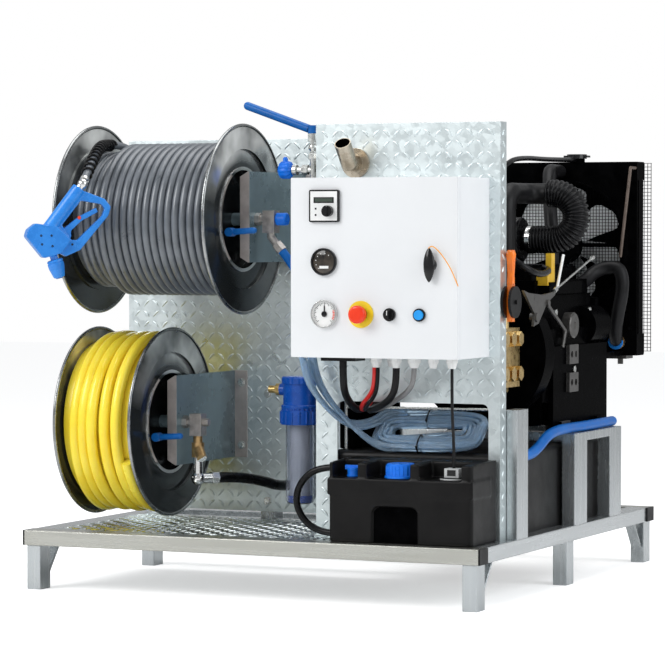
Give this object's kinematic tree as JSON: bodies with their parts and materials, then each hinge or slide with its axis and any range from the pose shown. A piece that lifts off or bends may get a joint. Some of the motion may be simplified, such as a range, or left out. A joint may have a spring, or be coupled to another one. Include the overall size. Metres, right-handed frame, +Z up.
{
  "type": "diesel pressure washer skid",
  "caption": "Diesel pressure washer on a galvanised skid with hose reels, control cabinet, tanks, engine, pump and radiator.",
  "frame": {"origin": "middle of the footprint on the floor", "axes": "+X to the right seen from the cabinet side, +Y from the cabinet to the radiator, +Z up"},
  "size_m": [1.14, 1.3301, 1.1315],
  "materials": {
    "galvanised": "bright galvanised",
    "tread_plate": "galvanised tread plate",
    "zinc_steel": "zinc plated",
    "polished_steel": "polished stainless",
    "slate_paint": "semi-gloss slate grey",
    "cabinet_paint": "pale grey powder coat",
    "engine_black": "satin black enamel",
    "orange_paint": "gloss orange",
    "brass": "raw brass",
    "black_plastic": "matt black",
    "grey_plastic": "matt grey",
    "gloss_black": "gloss black",
    "blue_plastic": "gloss blue",
    "signal_red": "gloss red",
    "clear_plastic": "clear plastic",
    "black_rubber": "black rubber",
    "grey_rubber": "satin grey hose cover",
    "yellow_rubber": "glossy yellow hose cover",
    "blue_rubber": "satin blue hose cover"
  },
  "bodies": {
    "skid": {"base_rails": "galvanised", "rail_end_caps": "black_plastic", "legs": "galvanised", "deck_plate": "tread_plate", "control_panel": "tread_plate", "reel_panel": "tread_plate", "panel_bolts": "zinc_steel", "frame_posts": "galvanised", "water_tank": "black_plastic", "front_tank": "black_plastic", "level_sender": "grey_plastic", "cabinet_shell": "cabinet_paint", "control_gear": "grey_plastic", "cable_glands": "grey_plastic", "cabinet_cables": "black_rubber", "pressure_hose": "grey_rubber", "reel_brackets": "slate_paint", "reel_swivels": "brass", "gun_body": "blue_plastic", "gun_hose": "grey_rubber", "bend_guard": "black_plastic", "bypass_valve": "zinc_steel", "exhaust_pipe": "zinc_steel", "filter_head": "blue_plastic", "filter_bowl": "clear_plastic", "engine_block": "engine_black", "cylinder_head": "engine_black", "drive_belt": "black_rubber", "pressure_pump": "brass", "air_cleaner": "black_plastic", "air_hose": "black_rubber", "radiator": "engine_black", "radiator_guard": "engine_black", "rubber_hoses": "black_rubber", "blue_hoses": "blue_rubber", "clear_hoses": "clear_plastic"},
    "pressure_drum": {"pressure_reel": "polished_steel"},
    "water_drum": {"water_reel": "polished_steel", "water_hose": "yellow_rubber"},
    "pressure_brake": {"pressure_brake_lever": "blue_plastic"},
    "water_brake": {"water_brake_lever": "blue_plastic"},
    "door": {"cabinet_door": "cabinet_paint", "door_instruments": "gloss_black"},
    "handle": {"door_handle": "gloss_black"},
    "controller_knob": {"controller_knob": "gloss_black"},
    "gauge_needle": {"gauge_pointer": "gloss_black"},
    "stop_button": {"estop_button": "signal_red"},
    "selector": {"mode_switch": "gloss_black"},
    "start_button": {"start_button": "blue_plastic"},
    "tank_cap": {"tank_cap": "blue_plastic"},
    "tank_tap": {"tank_tap": "blue_plastic"},
    "bypass_lever": {"bypass_lever": "blue_plastic"},
    "bypass_knob": {"bypass_knob": "blue_plastic"},
    "throttle": {"throttle_lever": "orange_paint"},
    "gun_trigger": {"gun_trigger": "blue_plastic"},
    "gun_collar": {"gun_collar": "blue_plastic"},
    "crank": {"crank_pulley": "engine_black"},
    "alternator": {"alternator_pulley": "engine_black"},
    "fan": {"cooling_fan": "black_plastic"},
    "radiator_cap": {"radiator_cap": "zinc_steel"}
  },
  "joints": [
    {"name": "pressure_reel_turn", "type": "hinge", "parent": "skid", "child": "pressure_drum", "pos_m": [-0.298, -0.368, 0.86], "axis": [1, 0, 0], "continuous": true},
    {"name": "water_reel_turn", "type": "hinge", "parent": "skid", "child": "water_drum", "pos_m": [-0.3925, -0.368, 0.385], "axis": [1, 0, 0], "continuous": true},
    {"name": "pressure_brake_turn", "type": "hinge", "parent": "skid", "child": "pressure_brake", "pos_m": [-0.089, -0.476, 0.83], "axis": [0, 1, 0], "range_deg": [0, 90]},
    {"name": "water_brake_turn", "type": "hinge", "parent": "skid", "child": "water_brake", "pos_m": [-0.278, -0.476, 0.355], "axis": [0, 1, 0], "range_deg": [0, 90]},
    {"name": "door_swing", "type": "hinge", "parent": "skid", "child": "door", "pos_m": [0.114, -0.57125, 0.751], "axis": [0, 0, -1], "range_deg": [0, 110]},
    {"name": "handle_turn", "type": "hinge", "parent": "door", "child": "handle", "pos_m": [0.452, -0.59, 0.758], "axis": [0, 1, 0], "range_deg": [0, 90]},
    {"name": "controller_knob_turn", "type": "hinge", "parent": "door", "child": "controller_knob", "pos_m": [0.209, -0.6, 0.8765], "axis": [0, 1, 0], "range_deg": [-135, 135]},
    {"name": "gauge_needle", "type": "hinge", "parent": "door", "child": "gauge_needle", "pos_m": [0.197, -0.595, 0.648], "axis": [0, 1, 0], "range_deg": [0, 270], "stiffness_Nm_per_rad": 0.002},
    {"name": "stop_push", "type": "slide", "parent": "door", "child": "stop_button", "axis": [0, 1, 0], "range_m": [0, 0.005]},
    {"name": "selector_turn", "type": "hinge", "parent": "door", "child": "selector", "pos_m": [0.354, -0.6, 0.648], "axis": [0, 1, 0], "range_deg": [-45, 45]},
    {"name": "start_push", "type": "slide", "parent": "door", "child": "start_button", "axis": [0, 1, 0], "range_m": [0, 0.003], "stiffness_N_per_m": 400, "springref_m": -0.002},
    {"name": "tank_cap_turn", "type": "hinge", "parent": "skid", "child": "tank_cap", "pos_m": [0.351, -0.516, 0.3], "axis": [0, 0, 1], "continuous": true},
    {"name": "tank_tap_turn", "type": "hinge", "parent": "skid", "child": "tank_tap", "pos_m": [0.237, -0.516, 0.3], "axis": [0, 0, 1], "range_deg": [0, 90]},
    {"name": "bypass_lever_turn", "type": "hinge", "parent": "skid", "child": "bypass_lever", "pos_m": [0.074, -0.378, 1.064], "axis": [0, 0, 1], "range_deg": [0, 90]},
    {"name": "bypass_knob_turn", "type": "hinge", "parent": "skid", "child": "bypass_knob", "pos_m": [0.006, -0.378, 0.973], "axis": [1, 0, 0], "range_deg": [0, 270]},
    {"name": "throttle_swing", "type": "hinge", "parent": "skid", "child": "throttle", "pos_m": [0.552, -0.359, 0.673], "axis": [1, 0, 0], "range_deg": [-25, 25]},
    {"name": "trigger_squeeze", "type": "hinge", "parent": "skid", "child": "gun_trigger", "pos_m": [-0.42422, -0.64164, 0.822], "axis": [0.6428, -0.766, 0], "range_deg": [0, 8], "stiffness_Nm_per_rad": 0.5, "springref_deg": -10},
    {"name": "collar_pull", "type": "slide", "parent": "skid", "child": "gun_collar", "axis": [-0.2104, -0.1766, 0.9615], "range_m": [0, 0.006], "stiffness_N_per_m": 500, "springref_m": -0.004},
    {"name": "crank_turn", "type": "hinge", "parent": "skid", "child": "crank", "pos_m": [0.373, 0.407, 0.545], "axis": [0, 1, 0], "continuous": true},
    {"name": "alternator_turn", "type": "hinge", "parent": "skid", "child": "alternator", "pos_m": [0.482, 0.407, 0.602], "axis": [0, 1, 0], "continuous": true},
    {"name": "fan_turn", "type": "hinge", "parent": "skid", "child": "fan", "pos_m": [0.373, 0.513, 0.798], "axis": [0, 1, 0], "continuous": true},
    {"name": "radiator_cap_turn", "type": "hinge", "parent": "skid", "child": "radiator_cap", "pos_m": [0.385, 0.549, 1.02], "axis": [0, 0, 1], "range_deg": [0, 90]}
  ],
  "couplings": [
    {"joint": "alternator_turn", "follows": "crank_turn", "ratio": 2.1481}
  ]
}
